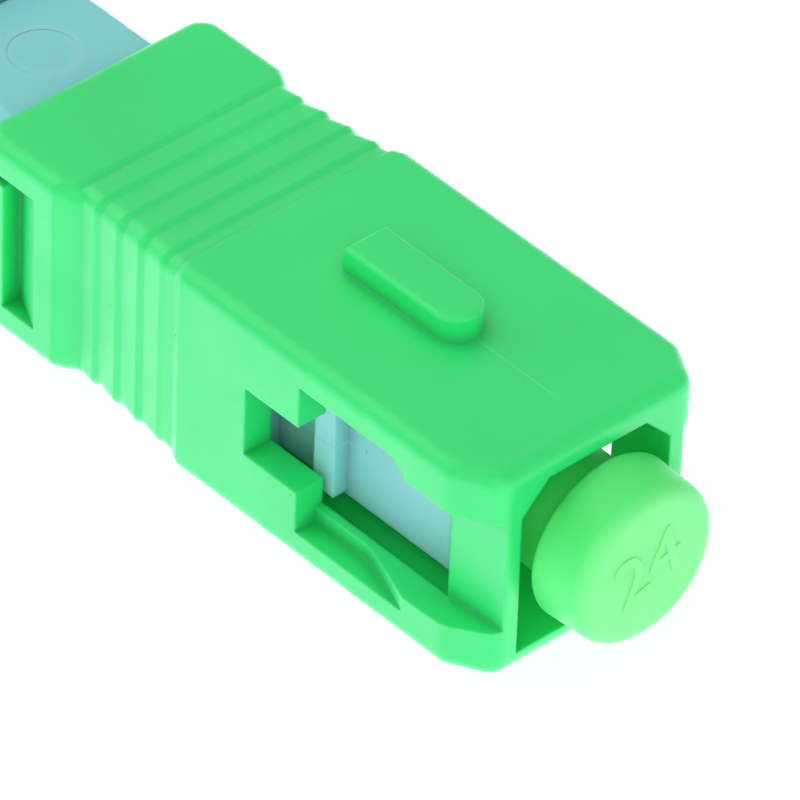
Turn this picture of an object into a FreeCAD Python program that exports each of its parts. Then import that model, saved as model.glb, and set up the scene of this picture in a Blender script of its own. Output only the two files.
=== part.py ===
import FreeCAD, Part
import math
import os
import re
import Sketcher

# Push-pull SC fibre connector for field fitting on a flat drop cable: an angled 2.5 mm ferrule, a
# mechanical splice behind it, a cable clamp at the tail and a dust cap on the nose.
# Units are millimetres. The optical axis is X, +X is the mating direction, the key is on +Z and
# x = 0 is the front face of the coupling sleeve. Sizes named *_front and *_rear are distances
# behind that face.

DIMENSIONS = {
    # how far a cutting shape runs past the face that it cuts, and a joined one starts inside it
    "overshoot": 1.0,
    "bite": 0.1,
    # coupling sleeve
    "sleeve_length": 22.15,
    "sleeve_width": 9.0,
    "sleeve_height": 7.5,
    "nose_taper_length": 1.45,
    "nose_taper_inset": 0.82,
    "tail_bevel_length": 0.5,
    "tail_bevel_inset": 0.5,
    "sleeve_corner_round": 0.7,
    "sleeve_edge_round": 0.5,
    "cavity_width": 6.88,
    "cavity_height": 6.2,
    "port_width": 5.76,
    "port_ceiling": 2.95,
    "port_chamfer": 1.0,
    "bridge_length": 2.35,
    "bridge_wall": 0.55,
    "bridge_recess_height": 4.0,
    "bridge_face_lap": 0.2,
    "window_height": 4.3,
    "tab_front": 7.75,
    "tab_slot_height": 2.46,
    "tab_slot_rear": 10.05,
    "web_wall": 0.28,
    "web_recess_height": 5.4,
    "ramp_start": 5.35,
    "ramp_end": 3.15,
    "ramp_round": 1.6,
    # grip of the sleeve: crests that run round it, each with a short steep face in front; the sides
    # come in from grip_front, the top and bottom step down further back
    "grip_front": 13.0,
    "grip_step_front": 13.28,
    "grip_step_length": 0.14,
    "grip_side_inset": 0.19,
    "grip_top_inset": 0.12,
    "rib_front": 14.1,
    "rib_pitch": 1.04,
    "rib_count": 5,
    "rib_face_length": 0.24,
    "rib_depth": 0.07,
    "first_rib_side_depth": 0.02,
    "rib_side_taper": 0.065,
    "rib_top_taper": 0.0275,
    "grip_waist": 17.8,
    "grip_waist_inset": 0.45,
    "flange_front": 18.65,
    # pocket in each side of the sleeve's flange, its floor running in towards the rear
    "flange_pocket_front": 19.4,
    "flange_pocket_length": 1.45,
    "flange_pocket_height": 4.85,
    "flange_pocket_depth": 0.7,
    "flange_notch_height": 0.35,
    # key on top of the sleeve
    "key_front": 5.27,
    "key_rear": 10.03,
    "key_width": 1.65,
    "key_height": 0.86,
    "key_edge_round": 0.14,
    # plug frame
    "frame_front": 2.9,
    "frame_rear": 19.0,
    "frame_width": 5.3,
    "frame_height": 5.6,
    "frame_chamfer": 0.65,
    "nose_chamfer": 0.3,
    "ear_front": 7.56,
    "ear_length": 0.88,
    "ear_height": 4.0,
    "ear_projection": 0.56,
    "hook_recess_depth": 0.15,
    "guide_front": 10.7,
    "guide_clearance": 0.14,
    "guide_chamfer": 0.5,
    "stop_rib_front": 12.2,
    "stop_rib_length": 0.8,
    "stop_rib_height": 1.8,
    "stop_rib_projection": 0.3,
    "stop_clearance": 0.05,
    "sleeve_travel": 1.4,
    "nose_bore": 4.5,
    "nose_bore_depth": 3.0,
    "seat_bore": 2.9,
    "seat_rear": 7.1,
    "spring_bore": 4.4,
    "socket_front": 12.6,
    "socket_width": 5.5,
    "socket_height": 4.7,
    "snap_window_front": 15.4,
    "snap_window_length": 1.6,
    "snap_window_height": 2.4,
    # ferrule group
    "ferrule_diameter": 2.5,
    "ferrule_tip": 0.9,
    "ferrule_length": 10.5,
    "tip_chamfer_length": 0.5,
    "tip_chamfer_depth": 0.35,
    "polish_allowance": 0.2,
    "lead_in_radius": 0.45,
    "lead_in_length": 0.9,
    "polish_angle": 8.0,
    "fibre_bore": 0.14,
    "fibre_diameter": 0.125,
    "fibre_recess": 0.02,
    "fibre_rear": 23.2,
    "collar_length": 1.75,
    "collar_diameter": 4.0,
    "collar_clearance": 0.05,
    "collar_notch_width": 0.7,
    "collar_notch_depth": 0.45,
    "collar_notch_length": 1.05,
    "collar_tail_diameter": 3.2,
    "collar_tail_length": 1.7,
    "float_travel": 0.8,
    # spring behind the collar
    "spring_wire": 0.36,
    "spring_diameter": 4.1,
    "spring_coils": 5,
    "spring_end_gap": 0.03,
    # splice
    "neck_diameter": 3.0,
    "neck_clearance": 0.1,
    "neck_root": 0.6,
    "ferrule_end_gap": 0.15,
    "splice_front": 14.3,
    "splice_rear": 31.5,
    "splice_width": 3.0,
    "splice_floor": 1.5,
    "splice_wall_top": 1.2,
    "channel_width": 1.9,
    "plate_clearance": 0.05,
    "plate_lift": 0.005,
    "plate_travel": 0.1,
    "plate_top": 1.12,
    "front_plate_front": 15.2,
    "front_plate_length": 7.6,
    "rear_plate_length": 5.3,
    "plate_gap": 0.5,
    "front_hump_front": 20.7,
    "hump_length": 1.5,
    "hump_spacing": 4.0,
    "hump_height": 0.43,
    "hump_width": 0.8,
    "hump_chamfer": 0.17,
    "clip_thickness": 0.2,
    "clip_end_gap": 0.4,
    "clip_lip": 1.0,
    "clip_lip_gap": 0.08,
    "guide_cone_diameter": 2.2,
    "guide_cone_length": 1.8,
    "guide_cone_wall": 0.4,
    "guide_cone_lap": 0.5,
    # body
    "snout_front": 12.75,
    "snout_clearance": 0.06,
    "snout_wall_length": 1.2,
    "snout_chamfer": 0.3,
    "barb_projection": 0.42,
    "barb_clearance": 0.12,
    "body_width": 6.4,
    "body_height": 5.7,
    "body_chamfer": 0.5,
    "chamber_width": 3.95,
    "snout_chamber_height": 3.8,
    "chamber_roof_front": 20.3,
    "chamber_roof": 2.3,
    "chamber_rear": 33.2,
    "ejector_mark_front": 24.3,
    "ejector_mark_diameter": 2.2,
    "ejector_mark_depth": 0.02,
    "bottom_cover_thickness": 0.7,
    # tail of the body and its cover
    "tail_front": 34.0,
    "body_rear": 47.5,
    "tail_width": 8.8,
    "tail_flange_top": 1.7,
    "tail_core_width": 6.8,
    "tail_wall_top": 2.6,
    "lug_rear": 37.2,
    "hinge_from_front": 35.7,
    "hinge_height": 1.6,
    "hinge_pin_diameter": 1.3,
    "hinge_clearance": 0.05,
    "hinge_pin_depth": 1.2,
    "cable_width": 3.1,
    "cable_height": 2.0,
    "cable_clearance": 0.1,
    "tooth_pitch": 1.1,
    "tooth_flank": 0.38,
    "tooth_depth": 0.25,
    "tooth_count": 7,
    "tooth_front": 39.0,
    "trough_front": 38.0,
    "entry_hole_diameter": 1.2,
    "entry_cone_length": 1.6,
    "cover_wall": 0.85,
    "cover_clearance": 0.15,
    "cover_roof": 0.75,
    "cover_cheek_bottom": 1.5,
    "cover_roof_gap": 0.2,
    "cover_edge_round": 0.5,
    "presser_front_gap": 0.6,
    "presser_rear_gap": 0.8,
    # slider that locks the splice
    "slider_front": 27.5,
    "slider_length": 5.8,
    "slider_width": 4.4,
    "slider_height": 0.8,
    "slider_edge_round": 0.28,
    "slider_gap": 0.1,
    "slider_travel": 2.0,
    "slider_rib_count": 4,
    "slider_rib_pitch": 0.9,
    "slider_rib_depth": 0.25,
    "neck_width": 2.4,
    "neck_inset": 1.5,
    "neck_length": 3.9,
    "tongue_width": 3.4,
    "tongue_thickness": 0.42,
    "tongue_front": 22.5,
    "cam_clearance": 0.06,
    # dust cap
    "cap_head_diameter": 5.5,
    "cap_head_taper": 0.1,
    "cap_head_gap": 0.25,
    "cap_head_length": 2.1,
    "cap_head_round": 0.55,
    "cap_tube_diameter": 4.0,
    "cap_tube_gap": 0.2,
    "cap_back_round": 0.15,
    "cap_grip_clearance": 0.03,
    "cap_tip_gap": 0.35,
}

doc = FreeCAD.newDocument("sc_connector")
sheet = doc.addObject("Spreadsheet::Sheet", "Dims")
for row, (alias, number) in enumerate(DIMENSIONS.items(), start=1):
    sheet.set("A%d" % row, alias)
    sheet.set("B%d" % row, str(number))
    sheet.setAlias("B%d" % row, alias)
doc.recompute()


def bound(text):
    """An expression over the sheet: every name of a dimension in the text gets the sheet's name."""
    return re.sub(r"[a-z_]+", lambda word: "Dims." + word.group() if word.group() in DIMENSIONS
                  else word.group(), text)


def size(text):
    """The number that an expression has now."""
    return sheet.evalExpression(bound(text))


def new_body(label):
    body = doc.addObject("PartDesign::Body", label)
    body.Label = label
    return body


def origin_feature(body, role):
    return [feature for feature in body.Origin.OriginFeatures if feature.Role == role][0]


# ---- sketches: closed loops whose corners are expressions -------------------------------------

def rectangle(left, right, low, high):
    return [(left, low), (right, low), (right, high), (left, high)]


def octagon(half_width, half_height, chamfer):
    """A rectangle about the origin with its four corners cut at 45 degrees."""
    w, h, c = "(%s)" % half_width, "(%s)" % half_height, "(%s)" % chamfer
    return [(w + "-" + c, "-" + h), (w, "-" + h + "+" + c), (w, h + "-" + c), (w + "-" + c, h),
            ("-" + w + "+" + c, h), ("-" + w, h + "-" + c), ("-" + w, "-" + h + "+" + c),
            ("-" + w + "+" + c, "-" + h)]


def rounded(half_width, half_height, radius):
    """A rectangle about the origin whose four corners are arcs."""
    w, h, r = "(%s)" % half_width, "(%s)" % half_height, "(%s)" % radius
    inside = r + "*(1-sqrt(0.5))"
    return [arc_from(w + "-" + r, "-" + h, r, (w + "-" + inside, "-" + h + "+" + inside)),
            (w, "-" + h + "+" + r),
            arc_from(w, h + "-" + r, r, (w + "-" + inside, h + "-" + inside)),
            (w + "-" + r, h),
            arc_from("-" + w + "+" + r, h, r, ("-" + w + "+" + inside, h + "-" + inside)),
            ("-" + w, h + "-" + r),
            arc_from("-" + w, "-" + h + "+" + r, r, ("-" + w + "+" + inside, "-" + h + "+" + inside)),
            ("-" + w + "+" + r, "-" + h)]


def circle(across, up, radius):
    return {"centre": (across, up), "radius": radius}


def arc_from(across, up, radius, through):
    """A corner of a loop whose next side is an arc of this radius, passing through a point."""
    return (across, up, radius, through)


def draw(sketch, loop):
    first = sketch.GeometryCount
    if isinstance(loop, dict):
        across, up = (size(text) for text in loop["centre"])
        centre = FreeCAD.Vector(across, up, 0)
        radius = size(loop["radius"])
        sketch.addGeometry(Part.Circle(centre, FreeCAD.Vector(0, 0, 1), radius), False)
        pin_point(sketch, first, 3, loop["centre"], centre)
        number = sketch.addConstraint(Sketcher.Constraint("Radius", first, radius))
        sketch.setExpression("Constraints[%d]" % number, bound(loop["radius"]))
        return
    corners = [FreeCAD.Vector(size(corner[0]), size(corner[1]), 0) for corner in loop]
    starts = []
    for number, corner in enumerate(loop):
        here, following = corners[number], corners[(number + 1) % len(loop)]
        if len(corner) == 2:
            sketch.addGeometry(Part.LineSegment(here, following), False)
            starts.append((1, 2))
            continue
        through = FreeCAD.Vector(size(corner[3][0]), size(corner[3][1]), 0)
        arc = Part.Arc(here, through, following)
        sketch.addGeometry(arc, False)
        forward = (sketch.getPoint(first + number, 1) - here).Length < 1e-6
        starts.append((1, 2) if forward else (2, 1))
        radius = sketch.addConstraint(Sketcher.Constraint("Radius", first + number, size(corner[2])))
        sketch.setExpression("Constraints[%d]" % radius, bound(corner[2]))
    for number in range(len(loop)):
        following = (number + 1) % len(loop)
        sketch.addConstraint(Sketcher.Constraint("Coincident", first + number, starts[number][1],
                                                 first + following, starts[following][0]))
    for number, corner in enumerate(corners):
        pin_point(sketch, first + number, starts[number][0], loop[number], corner)


def pin_point(sketch, geometry, vertex, texts, point):
    """Hold one point of a sketch by its two distances from the sketch's origin."""
    for kind, text, value in (("DistanceX", texts[0], point.x), ("DistanceY", texts[1], point.y)):
        if value == 0 and text == "0":
            on_axis = -2 if kind == "DistanceX" else -1
            sketch.addConstraint(Sketcher.Constraint("PointOnObject", geometry, vertex, on_axis))
            continue
        constraint = Sketcher.Constraint(kind, -1, 1, geometry, vertex, value)
        number = sketch.addConstraint(constraint)
        sketch.setExpression("Constraints[%d]" % number, bound(text))


def new_sketch(body, name, role, offset, loops, lift="0"):
    sketch = body.newObject("Sketcher::SketchObject", name + "_sketch")
    sketch.AttachmentSupport = [(origin_feature(body, role), "")]
    sketch.MapMode = "FlatFace"
    sketch.setExpression("AttachmentOffset.Base.z", bound(offset))
    sketch.setExpression("AttachmentOffset.Base.y", bound(lift))
    for loop in loops:
        draw(sketch, loop)
    return sketch


# ---- features ---------------------------------------------------------------------------------

def extrude(body, name, role, offset, length, loops, cut, side_type):
    sketch = new_sketch(body, name, role, offset, loops)
    kind = "PartDesign::Pocket" if cut else "PartDesign::Pad"
    feature = body.newObject(kind, name)
    feature.Profile = sketch
    feature.Type = 0
    feature.SideType = side_type
    feature.Reversed = cut and side_type == "One side"
    feature.setExpression("Length", bound(length))
    doc.recompute()
    return feature


def along(body, name, rear, length, loops, cut=False):
    """Extrude a cross-section (Y across, Z up) forwards, from `rear` behind the front face."""
    return extrude(body, name, "YZ_Plane", "-(%s)" % rear, length, loops, cut, "One side")


def upwards(body, name, level, length, loops, cut=False):
    """Extrude a plan outline (X, Y) upwards from a level."""
    return extrude(body, name, "XY_Plane", level, length, loops, cut, "One side")


def both_ways_up(body, name, length, loops, cut=False):
    """Extrude a plan outline (X, Y) equally above and below the optical axis."""
    return extrude(body, name, "XY_Plane", "0", length, loops, cut, "Symmetric")


def both_ways_across(body, name, length, loops, cut=False):
    """Extrude a side outline (X, Z) equally to both sides of the optical axis."""
    return extrude(body, name, "XZ_Plane", "0", length, loops, cut, "Symmetric")


def across_from(body, name, side, length, loops, cut=False):
    """Extrude a side outline (X, Z) towards -Y, from the plane at y = -side."""
    return extrude(body, name, "XZ_Plane", side, length, loops, cut, "One side")


def turned(body, name, loop, cut=False):
    """Turn a half section (X along, Z as radius) once about the optical axis."""
    sketch = new_sketch(body, name, "XZ_Plane", "0", [loop])
    feature = body.newObject("PartDesign::Groove" if cut else "PartDesign::Revolution", name)
    feature.Profile = sketch
    feature.ReferenceAxis = (sketch, ["H_Axis"])
    feature.Angle = 360
    doc.recompute()
    return feature


def lofted(body, name, stations):
    """Join cross-sections by straight faces; a station is a place behind the front face and a loop."""
    sketches = [new_sketch(body, "%s_%d" % (name, number), "YZ_Plane", "-(%s)" % place, [loop])
                for number, (place, loop) in enumerate(stations, start=1)]
    feature = body.newObject("PartDesign::AdditiveLoft", name)
    feature.Profile = sketches[0]
    feature.Sections = sketches[1:]
    feature.Ruled = True
    doc.recompute()
    return feature


def joined(body, name, other):
    """Fuse another body to this one."""
    feature = body.newObject("PartDesign::Boolean", name)
    feature.setObjects([other])
    feature.Type = 0
    doc.recompute()
    return feature


def mirrored(body, name, originals, role="XZ_Plane"):
    feature = body.newObject("PartDesign::Mirrored", name)
    feature.Originals = originals
    feature.MirrorPlane = (origin_feature(body, role), [""])
    body.Tip = feature
    doc.recompute()
    return feature


def row_backwards(body, name, originals, pitch, count):
    """Repeat features towards the rear."""
    feature = body.newObject("PartDesign::LinearPattern", name)
    feature.Originals = originals
    feature.Direction = (origin_feature(body, "X_Axis"), [""])
    feature.Reversed = True
    feature.setExpression("Length", bound("%s*(%s-1)" % (pitch, count)))
    feature.setExpression("Occurrences", bound(count))
    body.Tip = feature
    doc.recompute()
    return feature


def dress(body, kind, name, amount, wanted):
    """Fillet or chamfer the edges of the body whose middle passes the test."""
    base = body.Tip
    names = ["Edge%d" % number for number, edge in enumerate(base.Shape.Edges, start=1)
             if wanted(edge, edge.valueAt((edge.FirstParameter + edge.LastParameter) / 2))]
    feature = body.newObject("PartDesign::" + kind, name)
    feature.Base = (base, names)
    feature.setExpression("Radius" if kind == "Fillet" else "Size", bound(amount))
    doc.recompute()
    return feature


def near(value, target, slack=0.01):
    return abs(value - target) < slack


def runs_along(edge, axis):
    """True for a straight edge parallel to an axis: 0, 1 or 2 for X, Y or Z."""
    start, end = edge.Vertexes[0].Point, edge.Vertexes[-1].Point
    step = end - start
    return step.Length > 0 and near(abs(step[axis]), step.Length, 1e-4)


# ---- coupling sleeve --------------------------------------------------------------------------

def make_sleeve():
    body = new_body("outer_housing")
    build_flange(body)
    build_grip(body)
    joined(body, "nose_joined", make_sleeve_nose())
    cut_inside(body)
    cut_latch_sides(body)
    cut_flange_pockets(body)
    add_key(body)
    return body


def soften_block(body, name, joint):
    """Round the upright corners of a block, then its upper and lower edges, all but those of the
    face at the joint with the grip."""
    cut_end = size(joint)
    dress(body, "Fillet", name + "_corners", "sleeve_corner_round",
          lambda edge, middle: runs_along(edge, 2) and not near(middle.x, cut_end))
    top = body.Tip.Shape.BoundBox.ZMax
    dress(body, "Fillet", name + "_edges", "sleeve_edge_round",
          lambda edge, middle: near(abs(middle.z), top) and not near(middle.x, cut_end))


def make_sleeve_nose():
    """The front of the sleeve: tapered in plan at its nose."""
    body = new_body("sleeve_nose")
    half = "sleeve_width/2"
    plan = [("0", "-(%s-nose_taper_inset)" % half), ("0", half + "-nose_taper_inset"),
            ("-nose_taper_length", half), ("-grip_front", half),
            ("-grip_front", "-" + half), ("-nose_taper_length", "-" + half)]
    both_ways_up(body, "nose_block", "sleeve_height", [plan])
    soften_block(body, "nose", "-grip_front")
    return body


def build_flange(body):
    """The rear of the sleeve: a little lower than the front, and bevelled in plan at its end."""
    half = "sleeve_width/2"
    shoulder, end = "-(sleeve_length-tail_bevel_length)", "-sleeve_length"
    plan = [("-flange_front", "-" + half), ("-flange_front", half), (shoulder, half),
            (end, half + "-tail_bevel_inset"), (end, "-(%s-tail_bevel_inset)" % half),
            (shoulder, "-" + half)]
    both_ways_up(body, "flange_block", "sleeve_height-2*(%s)" % top_inset("(rib_count-1)"), [plan])
    soften_block(body, "flange", "-flange_front")


def side_inset(number):
    """How far a crest of the grip, counted from 0 at the front, lies inside the nose's sides."""
    return "grip_side_inset+%s*rib_side_taper" % number


def top_inset(number):
    """How far that crest lies below the nose's top, and above its underside."""
    return "grip_top_inset+%s*rib_top_taper" % number


def build_grip(body):
    """Ribs that run round the sleeve, deeper towards the rear. The sides end in a waist and a slope
    up to the flange; the last crest, of the top and bottom only, has the flange's own level."""
    def slope(place):
        return "grip_waist_inset*(flange_front-(%s))/(flange_front-grip_waist)" % place

    step_foot = "grip_step_front+grip_step_length"
    stations = [("grip_front", "0", "0"),
                ("grip_step_front",
                 "(%s)*(grip_step_front-grip_front)/(%s-grip_front)" % (side_inset(0), step_foot), "0"),
                (step_foot, side_inset(0), top_inset(0))]
    for number in range(DIMENSIONS["rib_count"] - 1):
        crest = "rib_front+%d*rib_pitch" % number
        side_depth = "rib_depth" if number else "first_rib_side_depth"
        stations.append((crest + "-rib_face_length", side_inset(number) + "+" + side_depth,
                         top_inset(number) + "+rib_depth"))
        stations.append((crest, side_inset(number), top_inset(number)))
    last_crest, level = "rib_front+(rib_count-1)*rib_pitch", top_inset("(rib_count-1)")
    foot = last_crest + "-rib_face_length"
    stations += [("grip_waist", "grip_waist_inset", level),
                 (foot, slope(foot), level + "+rib_depth"),
                 (last_crest, slope(last_crest), level),
                 ("flange_front", "0", level)]
    sections = [(place, rounded("sleeve_width/2-(%s)" % side, "sleeve_height/2-(%s)" % top,
                                "sleeve_edge_round")) for place, side, top in reversed(stations)]
    lofted(body, "grip", sections)


def cut_inside(body):
    """The cavity, open at the rear, and the narrower front port with its upper corners cut."""
    cavity = rectangle("-cavity_width/2", "cavity_width/2", "-cavity_height/2", "cavity_height/2")
    along(body, "cavity", "sleeve_length+overshoot", "sleeve_length+overshoot-bridge_length",
          [cavity], cut=True)
    port = [("-port_width/2", "-cavity_height/2"), ("port_width/2", "-cavity_height/2"),
            ("port_width/2", "port_ceiling-port_chamfer"), ("port_width/2-port_chamfer", "port_ceiling"),
            ("-(port_width/2-port_chamfer)", "port_ceiling"), ("-port_width/2", "port_ceiling-port_chamfer")]
    along(body, "port", "bridge_length+bite", "bridge_length+bite+overshoot", [port], cut=True)
    groove = rectangle("-(stop_rib_front+stop_rib_length+stop_clearance)",
                       "-(stop_rib_front-sleeve_travel-stop_clearance)",
                       "-(stop_rib_height/2+stop_clearance)", "stop_rib_height/2+stop_clearance")
    depth = "cavity_width+2*(stop_rib_projection-guide_clearance+stop_clearance)"
    both_ways_across(body, "stop_grooves", depth, [groove], cut=True)


def cut_latch_sides(body):
    """Each side: a window for the adapter's hook, narrower behind the tabs that lift the hook, a
    thin web above and below it, and a ramp that brings the skirts out to the full width."""
    window = [("-bridge_length", "-window_height/2"), ("-bridge_length", "window_height/2"),
              ("-tab_front", "window_height/2"), ("-tab_front", "tab_slot_height/2"),
              ("-tab_slot_rear", "tab_slot_height/2"), ("-tab_slot_rear", "-tab_slot_height/2"),
              ("-tab_front", "-tab_slot_height/2"), ("-tab_front", "-window_height/2")]
    both_ways_across(body, "windows", "sleeve_width+overshoot", [window], cut=True)

    web = "cavity_width/2+web_wall"
    outside = "sleeve_width/2"
    ramp = [("-tab_front", web), ("-ramp_start", web), ("-ramp_end", outside),
            ("-ramp_end", outside + "+overshoot"), ("-tab_front", outside + "+overshoot")]
    recess = both_ways_up(body, "web_recess", "web_recess_height", [ramp], cut=True)
    mirrored(body, "web_recesses", [recess])
    foot = (size("-ramp_start"), size(web))
    dress(body, "Fillet", "ramp_feet", "ramp_round",
          lambda edge, middle: runs_along(edge, 2) and near(middle.x, foot[0])
          and near(abs(middle.y), foot[1]))

    low = "window_height/2"
    rear = "-(bridge_length+bridge_face_lap)"
    slope = [("overshoot", "-bridge_recess_height/2"), ("overshoot", "bridge_recess_height/2"),
             ("0", "bridge_recess_height/2"), ("-bridge_length", low), (rear, low),
             (rear, "-" + low), ("-bridge_length", "-" + low), ("0", "-bridge_recess_height/2")]
    face = across_from(body, "bridge_face", "port_width/2+bridge_wall", "sleeve_width", [slope], cut=True)
    mirrored(body, "bridge_faces", [face])


def cut_flange_pockets(body):
    """A pocket in each side of the flange, deepest at its rear wall, and a notch from its upper
    rear corner out through the sleeve's end."""
    front = "-flange_pocket_front"
    rear = "-(flange_pocket_front+flange_pocket_length)"
    outside, floor = "sleeve_width/2", "sleeve_width/2-flange_pocket_depth"
    wedge = [(front, outside), (rear, floor), (rear, outside + "+overshoot"),
             (front, outside + "+overshoot")]
    pocket = both_ways_up(body, "flange_pocket", "flange_pocket_height", [wedge], cut=True)
    top = "flange_pocket_height/2"
    channel = rectangle("-(sleeve_length+overshoot)", rear + "+bite",
                        top + "-flange_notch_height", top)
    notch = across_from(body, "flange_notch", floor, "flange_pocket_depth+overshoot", [channel],
                        cut=True)
    mirrored(body, "flange_pockets", [pocket, notch])


def add_key(body):
    """The raised key: square at the rear, rounded at the front, its upper edge softened."""
    nose = "-(key_front+key_width/2)"
    bar = rectangle("-key_rear", nose, "-key_width/2", "key_width/2")
    base = "sleeve_height/2-bite"
    upwards(body, "key_bar", base, "key_height+bite", [bar])
    upwards(body, "key_nose", base, "key_height+bite", [circle(nose, "0", "key_width/2")])
    top = size("sleeve_height/2+key_height")
    dress(body, "Fillet", "key_edge", "key_edge_round",
          lambda edge, middle: near(middle.z, top))


# ---- plug frame -------------------------------------------------------------------------------

def make_plug_frame():
    body = new_body("plug_frame")
    along(body, "frame_nose", "guide_front", "guide_front-frame_front",
          [octagon("frame_width/2", "frame_height/2", "frame_chamfer")])
    front = size("-frame_front")
    dress(body, "Chamfer", "nose_edge", "nose_chamfer",
          lambda edge, middle: near(middle.x, front))
    hooks = rectangle("-(guide_front+bite)", "-(ear_front+ear_length)",
                      "frame_width/2-hook_recess_depth", "frame_width")
    recess = both_ways_up(body, "hook_recess", "frame_height+overshoot", [hooks], cut=True)
    mirrored(body, "hook_recesses", [recess])
    ears = rectangle("-(ear_front+ear_length)", "-ear_front", "-ear_height/2", "ear_height/2")
    both_ways_across(body, "ears", "frame_width+2*ear_projection", [ears])
    along(body, "guide", "frame_rear", "frame_rear-guide_front",
          [octagon("cavity_width/2-guide_clearance", "frame_height/2", "guide_chamfer")])
    ribs = rectangle("-(stop_rib_front+stop_rib_length)", "-stop_rib_front",
                     "-stop_rib_height/2", "stop_rib_height/2")
    both_ways_across(body, "stop_ribs", "cavity_width-2*guide_clearance+2*stop_rib_projection", [ribs])
    bore = [("-(frame_front-overshoot)", "0"), ("-(frame_front-overshoot)", "nose_bore/2"),
            ("-(frame_front+nose_bore_depth)", "nose_bore/2"),
            ("-(frame_front+nose_bore_depth)", "seat_bore/2"), ("-seat_rear", "seat_bore/2"),
            ("-seat_rear", "spring_bore/2"), ("-(socket_front+bite)", "spring_bore/2"),
            ("-(socket_front+bite)", "0")]
    turned(body, "stepped_bore", bore, cut=True)
    socket = rectangle("-socket_width/2", "socket_width/2", "-socket_height/2", "socket_height/2")
    along(body, "socket", "frame_rear+overshoot", "frame_rear+overshoot-socket_front", [socket], cut=True)
    window = rectangle("-(snap_window_front+snap_window_length)", "-snap_window_front",
                       "-snap_window_height/2", "snap_window_height/2")
    both_ways_across(body, "snap_windows", "cavity_width+overshoot", [window], cut=True)
    return body


# ---- ferrule group ----------------------------------------------------------------------------

def make_ferrule():
    """Ceramic ferrule: chamfered tip polished at an angle, fibre bore with a lead-in at the rear."""
    body = new_body("ferrule")
    rear = "-(ferrule_length-ferrule_tip)"
    tip = "ferrule_tip+polish_allowance"
    narrow = "tip_chamfer_depth*(1+polish_allowance/tip_chamfer_length)"
    outline = [(rear, "fibre_bore/2"), (rear, "ferrule_diameter/2"),
               ("ferrule_tip-tip_chamfer_length", "ferrule_diameter/2"),
               (tip, "ferrule_diameter/2-" + narrow), (tip, "fibre_bore/2")]
    turned(body, "blank", outline)
    slant = "(ferrule_diameter/2)*tan(polish_angle)"
    beyond = "ferrule_tip+overshoot"
    waste = [("ferrule_tip-%s" % slant, "ferrule_diameter/2"), (beyond, "ferrule_diameter/2"),
             (beyond, "-ferrule_diameter/2"), ("ferrule_tip+%s" % slant, "-ferrule_diameter/2")]
    both_ways_across(body, "polish", "ferrule_diameter+overshoot", [waste], cut=True)
    cone = [(rear, "0"), (rear, "lead_in_radius"), (rear + "+lead_in_length", "0")]
    turned(body, "lead_in", cone, cut=True)
    return body


def make_collar():
    """Steel collar pressed on the ferrule, with four notches in its rim."""
    body = new_body("ferrule_flange")
    front = "-(seat_rear+collar_clearance)"
    step = "-(seat_rear+collar_clearance+collar_length)"
    end = "-(seat_rear+collar_clearance+collar_length+collar_tail_length)"
    bore = "ferrule_diameter/2"
    turned(body, "collar_blank", [(front, bore), (front, "collar_diameter/2"),
                                  (step, "collar_diameter/2"), (step, "collar_tail_diameter/2"),
                                  (end, "collar_tail_diameter/2"), (end, bore)])
    inner = "collar_diameter/2-collar_notch_depth"
    notches = [rectangle("-collar_notch_width/2", "collar_notch_width/2", inner, "collar_diameter"),
               rectangle("-collar_notch_width/2", "collar_notch_width/2",
                         "-collar_diameter", "-(%s)" % inner),
               rectangle(inner, "collar_diameter", "-collar_notch_width/2", "collar_notch_width/2"),
               rectangle("-collar_diameter", "-(%s)" % inner,
                         "-collar_notch_width/2", "collar_notch_width/2")]
    along(body, "collar_notches", "seat_rear+collar_clearance+collar_notch_length",
          "collar_notch_length+overshoot", notches, cut=True)
    return body


def make_fibre():
    """The stub of glass fibre that is glued in the ferrule and ends in the middle of the splice."""
    body = new_body("fibre_stub")
    along(body, "stub", "fibre_rear", "fibre_rear+ferrule_tip-fibre_recess",
          [circle("0", "0", "fibre_diameter/2")])
    return body


def make_spring():
    """Coil spring between the collar and the snout of the body, its end coils ground flat."""
    body = new_body("ferrule_spring")
    front = "seat_rear+collar_clearance+collar_length+spring_end_gap"
    length = "snout_front-(%s)" % front
    sketch = new_sketch(body, "wire", "XZ_Plane", "0",
                        [circle("-snout_front", "(spring_diameter-spring_wire)/2",
                                "spring_wire/2")])
    coil = body.newObject("PartDesign::AdditiveHelix", "coil")
    coil.Profile = sketch
    coil.ReferenceAxis = (sketch, ["H_Axis"])
    coil.Mode = 1
    coil.setExpression("Pitch", bound("(%s)/spring_coils" % length))
    coil.setExpression("Turns", bound("spring_coils"))
    doc.recompute()
    ends = [rectangle("-(%s)" % front, "-(%s-overshoot)" % front, "-spring_diameter", "spring_diameter"),
            rectangle("-(snout_front+overshoot)", "-snout_front", "-spring_diameter", "spring_diameter")]
    both_ways_across(body, "ground_ends", "spring_diameter+overshoot", ends, cut=True)
    return body


# ---- splice -----------------------------------------------------------------------------------

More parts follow.
